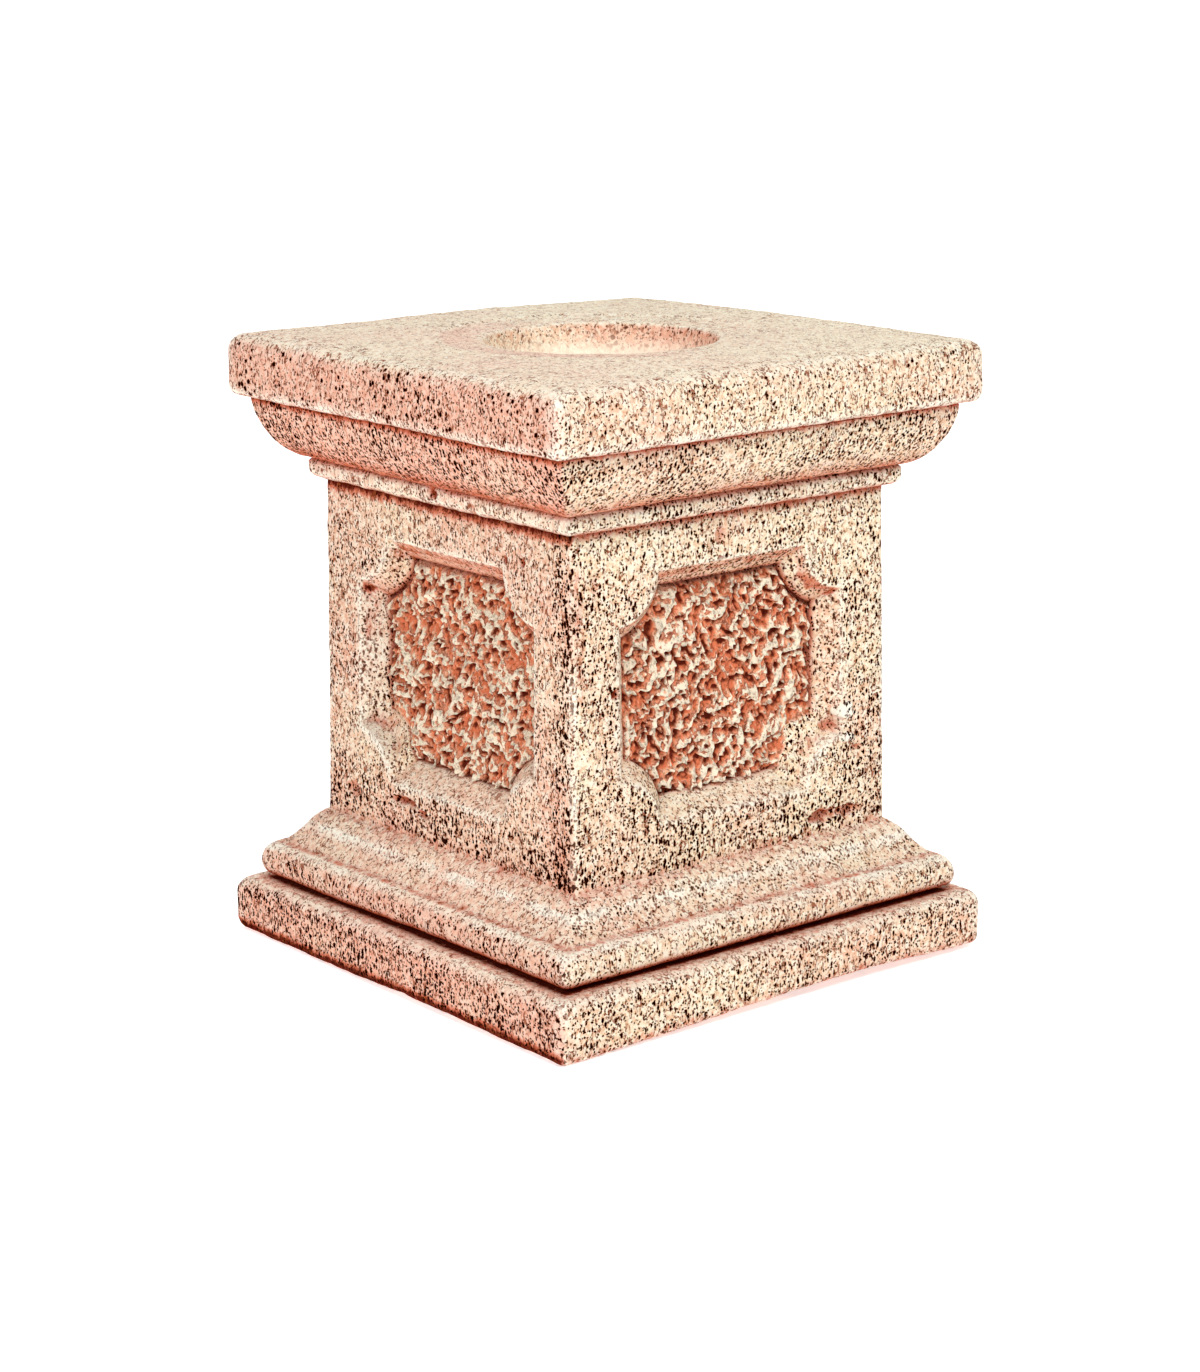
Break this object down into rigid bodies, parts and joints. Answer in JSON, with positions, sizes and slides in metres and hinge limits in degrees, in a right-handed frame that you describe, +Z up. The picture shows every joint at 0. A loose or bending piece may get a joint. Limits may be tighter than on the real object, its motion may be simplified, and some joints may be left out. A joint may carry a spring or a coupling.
{
  "type": "cast stone pedestal",
  "caption": "Square cast stone garden pedestal: stepped plinth and torus base, die with sunk lobed panels of rough ground, ovolo cap and a slab with a round well in its top.",
  "frame": {"origin": "centre of the flat underside, on the ground", "axes": "+Z up; the four panelled sides face +X, -X, +Y and -Y, and the picture looks at the -Y and -X sides"},
  "size_m": [0.352, 0.352, 0.404],
  "materials": {
    "cast_stone": "matt, pitted, pink to cream cast stone"
  },
  "bodies": {
    "root": {"pedestal": "cast_stone"}
  },
  "joints": []
}
